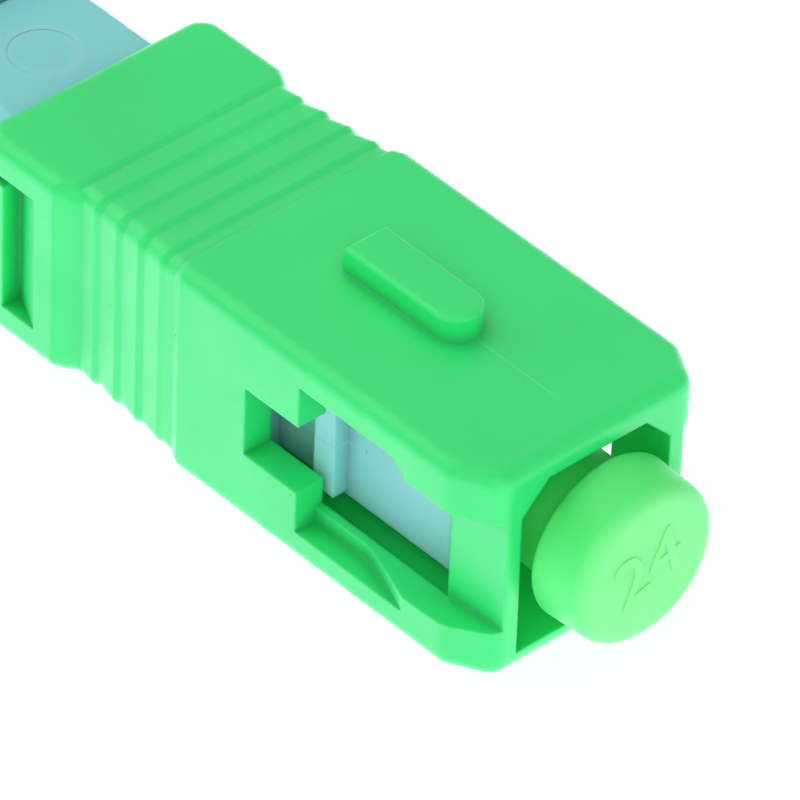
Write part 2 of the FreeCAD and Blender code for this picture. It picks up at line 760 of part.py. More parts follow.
def make_splice_base():
    """Trough with a V-groove on the optical axis, a round neck pressed in the collar in front and
    a cone at the rear that leads the cable's fibre in."""
    body = new_body("splice_base")
    half, wall_top, channel = "splice_width/2", "splice_wall_top", "channel_width/2"
    notch = "fibre_diameter/2*sqrt(2)"
    section = [("-%s" % half, "-splice_floor"), (half, "-splice_floor"), (half, wall_top),
               (channel, wall_top), (channel, "0"), (notch, "0"), ("0", "-%s" % notch),
               ("-%s" % notch, "0"), ("-%s" % channel, "0"),
               ("-%s" % channel, wall_top), ("-%s" % half, wall_top)]
    along(body, "trough", "splice_rear", "splice_rear-splice_front", [section])
    spigot = "-(ferrule_length-ferrule_tip+ferrule_end_gap)"
    tail = "-(seat_rear+collar_clearance+collar_length+collar_tail_length)"
    root = "-(splice_front+neck_root)"
    neck = [(root, "fibre_bore/2"), (root, "neck_diameter/2"),
            (tail, "neck_diameter/2"), (tail, "ferrule_diameter/2"),
            (spigot, "ferrule_diameter/2"), (spigot, "fibre_bore/2")]
    turned(body, "neck", neck)
    block = rectangle("-(%s)" % half, half, "-splice_floor", wall_top)
    along(body, "entry_block", "splice_rear", "guide_cone_length+guide_cone_wall", [block])
    mouth, throat = "-splice_rear", "-(splice_rear-guide_cone_length)"
    cone = [(mouth, "0"), (mouth, "guide_cone_diameter/2"), (throat, "fibre_bore"),
            (throat + "+guide_cone_lap", "fibre_bore"), (throat + "+guide_cone_lap", "0")]
    turned(body, "lead_cone", cone, cut=True)
    return body


def make_press_plate(label, front, length, hump):
    """Plate that lies in the trough over the fibre; its hump takes the push of the slider."""
    body = new_body(label)
    rest = "fibre_diameter/2+plate_lift+plate_travel"
    side = "channel_width/2-plate_clearance"
    rear = "%s+%s" % (front, length)
    plate = rectangle("-(%s)" % rear, "-(%s)" % front, "-(%s)" % side, side)
    upwards(body, label + "_plate", rest, "plate_top-(%s)" % rest, [plate])
    bump = rectangle("-(%s+hump_length)" % hump, "-(%s)" % hump, "-hump_width/2", "hump_width/2")
    upwards(body, label + "_hump", "plate_top-bite", "hump_height+bite", [bump])
    ends = (size("-(%s)" % hump), size("-(%s+hump_length)" % hump))
    top = size("plate_top+hump_height")
    dress(body, "Chamfer", label + "_ramps", "hump_chamfer",
          lambda edge, middle: near(middle.z, top) and any(near(middle.x, end) for end in ends))
    return body


def make_clip(label, front, length):
    """C-shaped clip of spring steel round the trough; its lips bear on the plate."""
    body = new_body(label)
    inner, under = "splice_width/2", "splice_floor"
    outer, low = "splice_width/2+clip_thickness", "splice_floor+clip_thickness"
    lip = "plate_top+plate_clearance+clip_lip_gap"
    tip = "(%s-clip_lip)" % outer
    section = [("-(%s)" % outer, "-(%s)" % low), (outer, "-(%s)" % low),
               (outer, lip + "+clip_thickness"), (tip, lip + "+clip_thickness"), (tip, lip),
               (inner, lip), (inner, "-(%s)" % under), ("-(%s)" % inner, "-(%s)" % under),
               ("-(%s)" % inner, lip), ("-%s" % tip, lip), ("-%s" % tip, lip + "+clip_thickness"),
               ("-(%s)" % outer, lip + "+clip_thickness")]
    along(body, label + "_strip", "%s+%s" % (front, length), length, [section])
    corner = (size(outer), -size(low))
    dress(body, "Fillet", label + "_bends", "clip_thickness",
          lambda edge, middle: runs_along(edge, 0) and near(abs(middle.y), corner[0])
          and near(middle.z, corner[1]))
    return body


# ---- body -------------------------------------------------------------------------------------

def make_main_body():
    body = new_body("main_body")
    along(body, "snout", "frame_rear", "frame_rear-snout_front",
          [octagon("socket_width/2-snout_clearance", "socket_height/2-snout_clearance",
                   "snout_chamfer")])
    side = "socket_width/2-snout_clearance"
    front, rear = ("-(snap_window_front+barb_clearance)",
                   "-(snap_window_front+snap_window_length-barb_clearance)")
    barb = [(front, side + "-bite"), (front, side), (rear, side + "+barb_projection"),
            (rear, side + "-bite")]
    barb_feature = both_ways_up(body, "barb", "snap_window_height-2*barb_clearance", [barb])
    mirrored(body, "barbs", [barb_feature])
    along(body, "waist", "tail_front+bite", "tail_front+bite-frame_rear",
          [octagon("body_width/2", "body_height/2", "body_chamfer")])
    build_tail(body)
    cut_chamber(body)
    return body


def build_tail(body):
    """Flanged cable trough with toothed floor, and the lug block that carries the cover's hinge."""
    flange = rectangle("-tail_width/2", "tail_width/2", "-sleeve_height/2", "-tail_flange_top")
    along(body, "tail_flange", "body_rear", "body_rear-tail_front", [flange])
    core = rectangle("-tail_core_width/2", "tail_core_width/2", "-(tail_flange_top+bite)", "tail_wall_top")
    along(body, "tail_core", "body_rear", "body_rear-tail_front", [core])
    edge = size("sleeve_height/2")
    ends = (size("-tail_front"), size("-body_rear"))
    dress(body, "Fillet", "tail_edges", "sleeve_edge_round",
          lambda e, middle: near(middle.z, -edge)
          and (near(abs(middle.y), size("tail_width/2")) or any(near(middle.x, x) for x in ends)))
    trough = rectangle("-(cable_width/2+cable_clearance)", "cable_width/2+cable_clearance",
                       "-(cable_height/2+cable_clearance)", "tail_wall_top+overshoot")
    along(body, "cable_trough", "body_rear+overshoot", "body_rear+overshoot-trough_front",
          [trough], cut=True)
    floor = "-(cable_height/2+cable_clearance)"
    tooth = [("-(tooth_front+tooth_pitch)", floor + "-bite"), ("-(tooth_front+tooth_pitch)", floor),
             ("-(tooth_front+tooth_flank)", floor + "+tooth_depth"),
             ("-tooth_front", floor), ("-tooth_front", floor + "-bite")]
    width = "cable_width+2*cable_clearance+2*bite"
    tooth_feature = both_ways_across(body, "floor_tooth", width, [tooth])
    row_backwards(body, "floor_teeth", [tooth_feature], "tooth_pitch", "tooth_count")
    hole = [circle("-hinge_from_front", "hinge_height", "hinge_pin_diameter/2+hinge_clearance")]
    pin_end = "tail_core_width/2-hinge_pin_depth"
    socket = across_from(body, "hinge_hole", pin_end, "hinge_pin_depth+overshoot", hole, cut=True)
    mirrored(body, "hinge_holes", [socket])


def cut_chamber(body):
    """Room for the splice: through the snout, under the roof, open to the underside."""
    room = rectangle("-chamber_width/2", "chamber_width/2",
                     "-snout_chamber_height/2", "snout_chamber_height/2")
    along(body, "snout_chamber", "chamber_roof_front+bite",
          "chamber_roof_front+bite-snout_front-snout_wall_length", [room], cut=True)
    hall = rectangle("-chamber_width/2", "chamber_width/2", "-body_height", "chamber_roof")
    along(body, "splice_hall", "chamber_rear", "chamber_rear-chamber_roof_front", [hall], cut=True)
    neck_hole = [circle("0", "0", "neck_diameter/2+neck_clearance")]
    along(body, "neck_hole", "snout_front+snout_wall_length+bite", "snout_wall_length+bite+overshoot",
          neck_hole, cut=True)
    mouth, end = "-(trough_front+bite)", "-(chamber_rear-bite)"
    entry = [(mouth, "0"), (mouth, "cable_height/2"),
             ("-(trough_front-entry_cone_length)", "entry_hole_diameter/2"),
             (end, "entry_hole_diameter/2"), (end, "0")]
    turned(body, "fibre_entry", entry, cut=True)
    slot = rectangle("-(slider_front+neck_inset+neck_length+slider_gap)",
                     "-(slider_front+neck_inset-slider_travel-slider_gap)",
                     "-(neck_width/2+slider_gap)", "neck_width/2+slider_gap")
    upwards(body, "slider_slot", "chamber_roof-bite", "body_height", [slot], cut=True)
    mark = [circle("-ejector_mark_front", "0", "ejector_mark_diameter/2")]
    upwards(body, "ejector_mark", "body_height/2-ejector_mark_depth", "overshoot", mark, cut=True)


def make_bottom_cover():
    """Plate that closes the splice chamber from below."""
    body = new_body("bottom_cover")
    plate = rectangle("-chamber_rear", "-chamber_roof_front", "-chamber_width/2", "chamber_width/2")
    upwards(body, "cover_plate", "-body_height/2", "bottom_cover_thickness", [plate])
    return body


def make_slider():
    """Thumb piece on top of the body, its neck through the roof, and the cam tongue under the roof."""
    body = new_body("lock_slider")
    under = "body_height/2+slider_gap"
    button = rectangle("-(slider_front+slider_length)", "-slider_front",
                       "-slider_width/2", "slider_width/2")
    upwards(body, "button", under, "slider_height", [button])
    top = size(under + "+slider_height")
    dress(body, "Fillet", "button_edges", "slider_edge_round",
          lambda edge, middle: near(middle.z, top))
    first = "slider_front+(slider_length-(slider_rib_count-1)*slider_rib_pitch)/2"
    surface = under + "+slider_height"
    notch = [("-(%s+slider_rib_depth)" % first, surface),
             ("-(%s)" % first, surface + "-slider_rib_depth"),
             ("-(%s-slider_rib_depth)" % first, surface)]
    groove = both_ways_across(body, "thumb_groove", "slider_width+overshoot", [notch], cut=True)
    row_backwards(body, "thumb_grooves", [groove], "slider_rib_pitch", "slider_rib_count")
    neck_rear = "slider_front+neck_inset+neck_length"
    neck = rectangle("-(%s)" % neck_rear, "-(slider_front+neck_inset)", "-neck_width/2", "neck_width/2")
    tongue_top = "chamber_roof-slider_gap"
    upwards(body, "slider_neck", tongue_top + "-bite", "%s-(%s)+2*bite" % (under, tongue_top), [neck])
    tongue = rectangle("-(%s)" % neck_rear, "-tongue_front", "-tongue_width/2", "tongue_width/2")
    upwards(body, "tongue", tongue_top + "-tongue_thickness", "tongue_thickness", [tongue])
    cam_low = "plate_top+hump_height+cam_clearance"
    for number in (0, 1):
        start = "front_hump_front+slider_travel+%d*hump_spacing" % number
        cam = rectangle("-(%s+hump_length)" % start, "-(%s)" % start, "-hump_width/2", "hump_width/2")
        upwards(body, "cam_%d" % (number + 1), cam_low,
                "%s-(%s)-tongue_thickness/2" % (tongue_top, cam_low), [cam])
    return body


def make_cable_cover():
    """Hinged lid over the cable trough: roof and cheeks, arms with hinge pins, a toothed presser."""
    body = new_body("cable_cover")
    inner = "(tail_core_width/2+cover_clearance)"
    outer = "(tail_core_width/2+cover_clearance+cover_wall)"
    roof_low = "(tail_wall_top+cover_clearance)"
    roof_top = "(tail_wall_top+cover_clearance+cover_roof)"
    shell = [("-" + outer, "-cover_cheek_bottom"), ("-" + inner, "-cover_cheek_bottom"),
             ("-" + inner, roof_low), (inner, roof_low), (inner, "-cover_cheek_bottom"),
             (outer, "-cover_cheek_bottom"), (outer, roof_top), ("-" + outer, roof_top)]
    front = "(lug_rear+cover_roof_gap)"
    along(body, "lid_shell", "body_rear", "body_rear-" + front, [shell])
    top, side, back = size(roof_top), size(outer), size("-body_rear")
    dress(body, "Fillet", "lid_edges", "cover_edge_round",
          lambda edge, middle: (near(middle.z, top) and (near(abs(middle.y), side) or near(middle.x, back)))
          or (near(abs(middle.y), side) and near(middle.x, back)))
    eye = "(%s-cover_edge_round-hinge_height)" % roof_top
    arm = [("-(%s+bite)" % front, "-cover_cheek_bottom"), ("-hinge_from_front", "hinge_height-" + eye),
           ("-hinge_from_front", "hinge_height+" + eye), ("-(%s+bite)" % front, "hinge_height+" + eye)]
    arm_side = across_from(body, "hinge_arm", inner, "cover_wall", [arm])
    boss = across_from(body, "hinge_eye", inner, "cover_wall",
                       [circle("-hinge_from_front", "hinge_height", eye)])
    pin = across_from(body, "hinge_pin", "tail_core_width/2-hinge_pin_depth+cover_clearance",
                      "hinge_pin_depth+bite",
                      [circle("-hinge_from_front", "hinge_height", "hinge_pin_diameter/2")])
    mirrored(body, "far_arm", [arm_side, boss, pin])
    low = "(cable_height/2+tooth_depth)"
    presser = rectangle("-(body_rear-presser_rear_gap)", "-(trough_front+presser_front_gap)",
                        "-cable_width/2", "cable_width/2")
    upwards(body, "presser", low, "%s-%s+bite" % (roof_low, low), [presser])
    tooth = [("-(tooth_front+tooth_pitch)", low),
             ("-(tooth_front+tooth_pitch-tooth_flank)", low + "-tooth_depth"),
             ("-tooth_front", low), ("-tooth_front", low + "+bite"),
             ("-(tooth_front+tooth_pitch)", low + "+bite")]
    tooth_feature = both_ways_across(body, "presser_tooth", "cable_width", [tooth])
    row_backwards(body, "presser_teeth", [tooth_feature], "tooth_pitch", "tooth_count")
    return body


# ---- dust cap ---------------------------------------------------------------------------------

def make_dust_cap():
    """Mushroom cap: a tube that grips the ferrule inside the port, and a round head in front."""
    body = new_body("dust_cap")
    face = "cap_head_gap+cap_head_length"
    tube_rear = "-(frame_front+nose_bore_depth-float_travel-cap_tube_gap)"
    bore = "ferrule_diameter/2+cap_grip_clearance"
    depth = "ferrule_tip+cap_tip_gap"
    outline = [(tube_rear, bore), (tube_rear, "cap_tube_diameter/2"),
               ("cap_head_gap", "cap_tube_diameter/2"), ("cap_head_gap", "cap_head_diameter/2"),
               (face, "cap_head_diameter/2-cap_head_taper"), (face, "0"), (depth, "0"), (depth, bore)]
    turned(body, "cap_blank", outline)
    front, rear = size(face), size("cap_head_gap")
    dress(body, "Fillet", "head_edge", "cap_head_round",
          lambda edge, middle: near(middle.x, front))
    dress(body, "Fillet", "head_back_edge", "cap_back_round",
          lambda edge, middle: near(middle.x, rear) and near(edge.Length, math.pi * size("cap_head_diameter"), 0.1))
    return body


def rear_plate_front():
    return "front_plate_front+front_plate_length+plate_gap"


parts = [
    make_sleeve(),
    make_plug_frame(),
    make_main_body(),
    make_bottom_cover(),
    make_ferrule(),
    make_collar(),
    make_fibre(),
    make_spring(),
    make_splice_base(),
    make_press_plate("front_press_plate", "front_plate_front", "front_plate_length", "front_hump_front"),
    make_press_plate("rear_press_plate", rear_plate_front(), "rear_plate_length",
                     "front_hump_front+hump_spacing"),
    make_clip("front_splice_clip", "front_plate_front+clip_end_gap", "front_plate_length-2*clip_end_gap"),
    make_clip("rear_splice_clip", rear_plate_front() + "+clip_end_gap",
              "rear_plate_length-2*clip_end_gap"),
    make_slider(),
    make_cable_cover(),
    make_dust_cap(),
]

doc.recompute()
for item in doc.Objects:
    if "Invalid" in item.State or "Error" in item.State:
        raise RuntimeError("feature failed: " + item.Label)
for body in parts:
    if body.Shape.isNull() or not body.Shape.isValid() or len(body.Shape.Solids) != 1:
        raise RuntimeError("bad shape: " + body.Label)

os.makedirs("parts", exist_ok=True)
for body in parts:
    body.Shape.exportStep("parts/%s.step" % body.Label)
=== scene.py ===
"""A push-pull fibre connector: green housing on a pale blue plug, with a soft green dust cap."""

import math

import bmesh
import bpy
from mathutils import Matrix, Vector


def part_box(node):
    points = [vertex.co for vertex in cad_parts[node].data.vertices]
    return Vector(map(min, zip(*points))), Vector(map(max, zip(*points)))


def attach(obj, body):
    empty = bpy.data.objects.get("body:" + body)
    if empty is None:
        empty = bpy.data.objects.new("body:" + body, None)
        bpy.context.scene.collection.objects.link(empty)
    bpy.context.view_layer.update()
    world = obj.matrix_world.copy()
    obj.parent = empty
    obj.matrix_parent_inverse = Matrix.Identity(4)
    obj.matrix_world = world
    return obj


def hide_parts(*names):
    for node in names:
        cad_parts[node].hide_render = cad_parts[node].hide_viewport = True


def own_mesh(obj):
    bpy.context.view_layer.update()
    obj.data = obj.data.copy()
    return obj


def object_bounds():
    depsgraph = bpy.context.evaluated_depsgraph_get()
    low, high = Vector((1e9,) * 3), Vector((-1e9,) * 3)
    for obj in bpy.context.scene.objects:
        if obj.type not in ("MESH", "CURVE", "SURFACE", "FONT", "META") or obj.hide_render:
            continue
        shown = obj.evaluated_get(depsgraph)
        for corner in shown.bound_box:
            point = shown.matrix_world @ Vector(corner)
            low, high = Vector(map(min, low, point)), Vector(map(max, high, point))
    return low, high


MM = 0.001
X, Y, Z = 0, 1, 2

GREEN = (0.026, 0.81, 0.20)
BLUE = (0.24, 0.70, 0.71)
# painted light: the body's blue made lighter for the plug frame, standing in for the extra light it
# gets
LIT_COPY_OF_BLUE = (0.31, 0.745, 0.755)
CAP_GREEN = (0.085, 0.89, 0.19)
# painted light: the cap face's green, paler to stand in for the brighter light on the face
CAP_FACE_PAINTED_LIGHTER = (0.21, 0.94, 0.26)

# brightness of the tent above as it lights things, and the share of the way from there to plain
# white at which glossy surfaces mirror it
TENT = 0.52
TENT_IN_GLOSS = 0.55

# the floor's glow as the camera sees it and as a glossy surface mirrors it, and its share of the
# floor's look, the rest being a matt sheet that takes shadow
FLOOR_WHITE = 1.12
FLOOR_GLOW = 2.3
FLOOR_TINT = (0.95, 1.0, 1.13, 1)
LIT_FROM_BELOW = 0.85
FLOOR_HALF_SIZE = 1.5
FLOOR_GAP = 0.005 * MM

# the lamps face the middle of the housing
HOUSING_MIDDLE = Vector((-8 * MM, 0, 0))

# nearly all of a noise texture's values lie between these
NOISE = (0.3, 0.7)
# a moulding's spark texture, how far it takes light in, and how far into its inner corners shade is
# painted
GRAIN_PER_MM = 9
GRAIN_DEPTH = 0.0022 * MM
LIGHT_REACH = 0.6 * MM
CORNER_REACH = 0.6 * MM
# edges closer to flat than this are smoothed over
SMOOTH_BELOW = math.radians(35)

# corners of a node's loose triangles that are nearer than this are one corner
WELD_DISTANCE = 0.0005 * MM

# the cap's rounded rim, the front of its face where painted light makes it paler, and the number
# that stands on it
CAP_ROUND = 0.55 * MM
CAP_PAINTED_LIGHT_DEPTH = 0.5 * MM
NUMBER = "24"
NUMBER_SIZE_MM = 2.6
NUMBER_TILT = math.radians(15)
NUMBER_HEIGHT = 0.04 * MM
NUMBER_WELD_MM = 0.001


def add_object(name, data):
    thing = bpy.data.objects.new(name, data)
    bpy.context.scene.collection.objects.link(thing)
    return thing


# ---- camera, light and floor ------------------------------------------------------------------

def place_camera():
    data = bpy.data.cameras.new("camera")
    data.sensor_width = 36
    data.lens = 467.83
    data.clip_start = 0.02
    data.clip_end = 20
    camera = add_object("camera", data)
    camera.location = (0.160806, -0.161003, 0.192693)
    camera.rotation_euler = (0.879235, -0.031330, 0.835787)
    bpy.context.scene.camera = camera


def place_lamp(name, direction, distance, size, power):
    """A square soft box that faces the middle of the housing."""
    data = bpy.data.lights.new(name, "AREA")
    data.shape = "SQUARE"
    data.size = size
    data.energy = power
    lamp = add_object(name, data)
    away = Vector(direction).normalized()
    lamp.location = HOUSING_MIDDLE + away * distance
    lamp.rotation_euler = away.to_track_quat("Z", "Y").to_euler()


def calculate(tree, operation, *values):
    """A math node; its values are numbers or the outputs of other nodes."""
    node = tree.nodes.new("ShaderNodeMath")
    node.operation = operation
    for socket, value in zip(node.inputs, values):
        if isinstance(value, (int, float)):
            socket.default_value = value
        else:
            tree.links.new(value, socket)
    return node.outputs[0]


def light_world():
    """An even tent of light, plain white where the camera sees it, and nearly so in the gloss."""
    world = bpy.data.worlds.new("tent")
    world.use_nodes = True
    tree = world.node_tree
    path = tree.nodes.new("ShaderNodeLightPath")
    mirrored = calculate(tree, "MULTIPLY", path.outputs["Is Glossy Ray"], TENT_IN_GLOSS)
    seen = calculate(tree, "MAXIMUM", path.outputs["Is Camera Ray"], mirrored)
    background = tree.nodes["Background"]
    background.inputs["Color"].default_value = (1, 1, 1, 1)
    strength = calculate(tree, "MULTIPLY_ADD", seen, 1 - TENT, TENT)
    tree.links.new(strength, background.inputs["Strength"])
    bpy.context.scene.world = world


def lay_floor(level):
    """White acrylic sheet, lit past plain white: the camera sees white with a trace of shadow, and
    glossy surfaces see how bright it is."""
    outline = bmesh.new()
    bmesh.ops.create_grid(outline, x_segments=1, y_segments=1, size=FLOOR_HALF_SIZE,
                          matrix=Matrix.Translation((0, 0, level)))
    mesh = bpy.data.meshes.new("floor")
    outline.to_mesh(mesh)
    outline.free()
    floor = add_object("floor", mesh)
    material = bpy.data.materials.new("white_acrylic")
    material.use_nodes = True
    tree = material.node_tree
    sheet = tree.nodes["Principled BSDF"]
    sheet.inputs["Base Color"].default_value = (0.93, 0.93, 0.93, 1)
    sheet.inputs["Roughness"].default_value = 0.6
    path = tree.nodes.new("ShaderNodeLightPath")
    mirrored = path.outputs["Is Glossy Ray"]
    glow = tree.nodes.new("ShaderNodeEmission")
    glow.inputs["Color"].default_value = FLOOR_TINT
    strength = calculate(tree, "MULTIPLY_ADD", mirrored, FLOOR_GLOW - FLOOR_WHITE, FLOOR_WHITE)
    tree.links.new(strength, glow.inputs["Strength"])
    blend = tree.nodes.new("ShaderNodeMixShader")
    tree.links.new(calculate(tree, "MAXIMUM", mirrored, LIT_FROM_BELOW), blend.inputs["Fac"])
    tree.links.new(sheet.outputs[0], blend.inputs[1])
    tree.links.new(glow.outputs[0], blend.inputs[2])
    tree.links.new(blend.outputs[0], tree.nodes["Material Output"].inputs["Surface"])
    mesh.materials.append(material)


# ---- materials --------------------------------------------------------------------------------

class Tree:
    """A material's node tree, with short calls for the nodes that the finishes share."""

    def __init__(self, name):
        self.material = bpy.data.materials.new(name)
        self.material.use_nodes = True
        self.nodes = self.material.node_tree.nodes
        self.links = self.material.node_tree.links
        self.shader = self.nodes["Principled BSDF"]
        self.place = self.nodes.new("ShaderNodeTexCoord").outputs["Object"]

    def join(self, output, socket):
        self.links.new(output, socket)

    def calculate(self, operation, *values):
        return calculate(self.material.node_tree, operation, *values)

    def noise(self, per_mm, detail=2.0, roughness=0.5, stretch=None):
        node = self.nodes.new("ShaderNodeTexNoise")
        node.inputs["Scale"].default_value = per_mm / MM
        node.inputs["Detail"].default_value = detail
        node.inputs["Roughness"].default_value = roughness
        place = self.place
        if stretch:
            mapping = self.nodes.new("ShaderNodeMapping")
            mapping.inputs["Scale"].default_value = stretch
            self.join(place, mapping.inputs["Vector"])
            place = mapping.outputs[0]
        self.join(place, node.inputs["Vector"])
        return node.outputs["Fac"]

    def spread(self, value, low, high, to_low=0.0, to_high=1.0):
        node = self.nodes.new("ShaderNodeMapRange")
        ends = {"From Min": low, "From Max": high, "To Min": to_low, "To Max": to_high}
        for socket, number in ends.items():
            node.inputs[socket].default_value = number
        self.join(value, node.inputs["Value"])
        return node.outputs[0]

    def tint(self, factor, first, second):
        node = self.nodes.new("ShaderNodeMix")
        node.data_type = "RGBA"
        sockets = [s for s in node.inputs if s.type == "RGBA"]
        for socket, colour in zip(sockets, (first, second)):
            if isinstance(colour, tuple):
                socket.default_value = (*colour, 1)
            else:
                self.join(colour, socket)
        self.join(factor, node.inputs[0])
        return [s for s in node.outputs if s.type == "RGBA"][0]

    def axis(self, number):
        """The place along X, Y or Z, in metres."""
        split = self.nodes.new("ShaderNodeSeparateXYZ")
        self.join(self.place, split.inputs[0])
        return split.outputs[number]

    def within(self, value, centre, half, soft):
        """1 within half of the centre, falling to 0 over the soft distance beyond; all in mm."""
        away = self.calculate("ABSOLUTE", self.calculate("SUBTRACT", value, centre * MM))
        return self.spread(away, half * MM, (half + soft) * MM, 1.0, 0.0)

    def product(self, *values):
        total = values[0]
        for value in values[1:]:
            total = self.calculate("MULTIPLY", total, value)
        return total

    def open_to_light(self, reach):
        """1 on an open face, falling to about a half in an inner corner."""
        node = self.nodes.new("ShaderNodeAmbientOcclusion")
        node.samples = 6
        node.only_local = True
        node.inputs["Distance"].default_value = reach
        return node.outputs["AO"]

    def soft_edges(self, radius):
        node = self.nodes.new("ShaderNodeBevel")
        node.samples = 6
        node.inputs["Radius"].default_value = radius
        return node.outputs[0]

    def bump(self, height, depth, normal=None):
        node = self.nodes.new("ShaderNodeBump")
        node.inputs["Strength"].default_value = 1.0
        node.inputs["Distance"].default_value = depth
        self.join(height, node.inputs["Height"])
        if normal is not None:
            self.join(normal, node.inputs["Normal"])
        return node.outputs[0]


def shade(colour, by):
    """The colour, darker or brighter by that factor."""
    return tuple(min(1.0, part * by) for part in colour)


def lighter(colour, by):
    """The colour, moved that share of the way to white."""
    return tuple(part + (1 - part) * by for part in colour)


def moulded(name, colour, roughness, edge=0.12, specks=True, mark=None):
    """Spark-textured injection moulding: cloudy colour, painted shade in inner corners, fine grain,
    edges that catch the light.
    The mark is a function of the tree that gives a mask, its share of white and its height in mm."""
    tree = Tree(name)
    cloud = tree.spread(tree.noise(0.22, detail=3), *NOISE)
    body = tree.tint(cloud, shade(colour, 0.955), shade(colour, 1.045))
    if specks:
        dust = tree.spread(tree.noise(2.1, detail=1), 0.795, 0.83)
        body = tree.tint(dust, body, shade(colour, 0.65))
    # painted shade: inner corners are coloured darker, down to 0.7 of the colour, where ambient
    # occlusion finds them closed in
    painted_shade_factor = tree.spread(tree.open_to_light(CORNER_REACH), 0.5, 0.97)
    body = tree.tint(painted_shade_factor, shade(colour, 0.7), body)
    line, whiter, height = mark(tree) if mark else (None, 0, 0)
    if line:
        body = tree.tint(line, body, lighter(colour, whiter))
    tree.join(body, tree.shader.inputs["Base Color"])
    patches = tree.noise(0.6, detail=4, roughness=0.6)
    sheen = tree.spread(patches, *NOISE, roughness - 0.05, roughness + 0.06)
    tree.join(sheen, tree.shader.inputs["Roughness"])
    tree.shader.inputs["IOR"].default_value = 1.54
    tree.shader.inputs["Subsurface Weight"].default_value = 0.4
    tree.shader.inputs["Subsurface Radius"].default_value = (0.3, 1.0, 0.5)
    tree.shader.inputs["Subsurface Scale"].default_value = LIGHT_REACH
    grain = tree.noise(GRAIN_PER_MM, detail=3, roughness=0.65)
    normal = tree.bump(grain, GRAIN_DEPTH, tree.soft_edges(edge * MM))
    if height:
        normal = tree.bump(line, height * MM, normal)
    tree.join(normal, tree.shader.inputs["Normal"])
    return tree


def weld_line(tree):
    """Where the melt met, along the middle of the top in front of the key."""
    across = tree.within(tree.axis(Y), 0.02, 0.012, 0.025)
    along = tree.within(tree.axis(X), -3.4, 1.4, 0.6)
    only_on_top = tree.spread(tree.axis(Z), 3.6 * MM, 3.7 * MM)
    return tree.product(across, along, only_on_top), 0.06, 0.004


def parting_line(tree):
    """Where the halves of the mould met, across the plug frame's ears."""
    up = tree.within(tree.axis(Z), -0.15, 0.012, 0.02)
    along_the_ear = tree.within(tree.axis(X), -8.0, 0.6, 0.05)
    return tree.product(up, along_the_ear), 0.03, -0.012


def ejector_ring(tree):
    """The soft rim round the ejector's mark on top of the body."""
    mark_x, ring_radius = -24.3, 1.12
    along = tree.calculate("SUBTRACT", tree.axis(X), mark_x * MM)
    across = tree.axis(Y)
    away = tree.calculate("SQRT", tree.calculate(
        "ADD", tree.product(along, along), tree.product(across, across)))
    only_on_top = tree.spread(tree.axis(Z), 2.7 * MM, 2.8 * MM)
    return tree.product(tree.within(away, ring_radius, 0.05, 0.3), only_on_top), 0.05, 0


def cap_plastic(name, edge, let_in):
    """Soft polyethylene that lets some light in, with painted light making the front of its face
    paler.
    """
    tree = moulded(name, CAP_GREEN, roughness=0.5, edge=edge, specks=False)
    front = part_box("dust_cap")[1].x
    # painted light: the colour turns paler towards the front of the face, standing in for the light
    # that falls on it
    face = tree.spread(tree.axis(X), front - CAP_PAINTED_LIGHT_DEPTH, front)
    skirt = tree.shader.inputs["Base Color"].links[0].from_socket
    tree.join(tree.tint(face, skirt, CAP_FACE_PAINTED_LIGHTER), tree.shader.inputs["Base Color"])
    tree.shader.inputs["Subsurface Weight"].default_value = let_in
    tree.shader.inputs["Subsurface Radius"].default_value = (0.5, 1.0, 0.6)
    tree.shader.inputs["Subsurface Scale"].default_value = 1.1 * MM
    return tree.material


def metal(name, colour, roughness, stretch):
    """Plain metal with fine marks along its drawing or turning direction."""
    tree = Tree(name)
    marks = tree.noise(3, detail=4, roughness=0.6, stretch=stretch)
    tree.join(tree.tint(tree.spread(marks, *NOISE), shade(colour, 0.86), colour),
              tree.shader.inputs["Base Color"])
    tree.join(tree.spread(marks, *NOISE, roughness - 0.06, roughness + 0.1),
              tree.shader.inputs["Roughness"])
    tree.shader.inputs["Metallic"].default_value = 1.0
    tree.join(tree.bump(marks, 0.001 * MM), tree.shader.inputs["Normal"])
    return tree.material


def ceramic():
    tree = Tree("white_zirconia")
    cloud = tree.spread(tree.noise(1.2, detail=3), *NOISE)
    tree.join(tree.tint(cloud, (0.86, 0.86, 0.83), (0.9, 0.9, 0.88)),
              tree.shader.inputs["Base Color"])
    polish = tree.spread(tree.noise(4, detail=3), *NOISE, 0.08, 0.16)
    tree.join(polish, tree.shader.inputs["Roughness"])
    tree.shader.inputs["Subsurface Weight"].default_value = 0.2
    tree.shader.inputs["Subsurface Scale"].default_value = 0.3 * MM
    return tree.material


def glass_fibre():
    tree = Tree("glass_fibre")
    cloud = tree.spread(tree.noise(5), *NOISE)
    tree.join(tree.tint(cloud, (0.9, 0.95, 0.97), (0.96, 0.98, 1.0)),
              tree.shader.inputs["Base Color"])
    tree.shader.inputs["Roughness"].default_value = 0.05
    tree.shader.inputs["Transmission Weight"].default_value = 0.8
    return tree.material


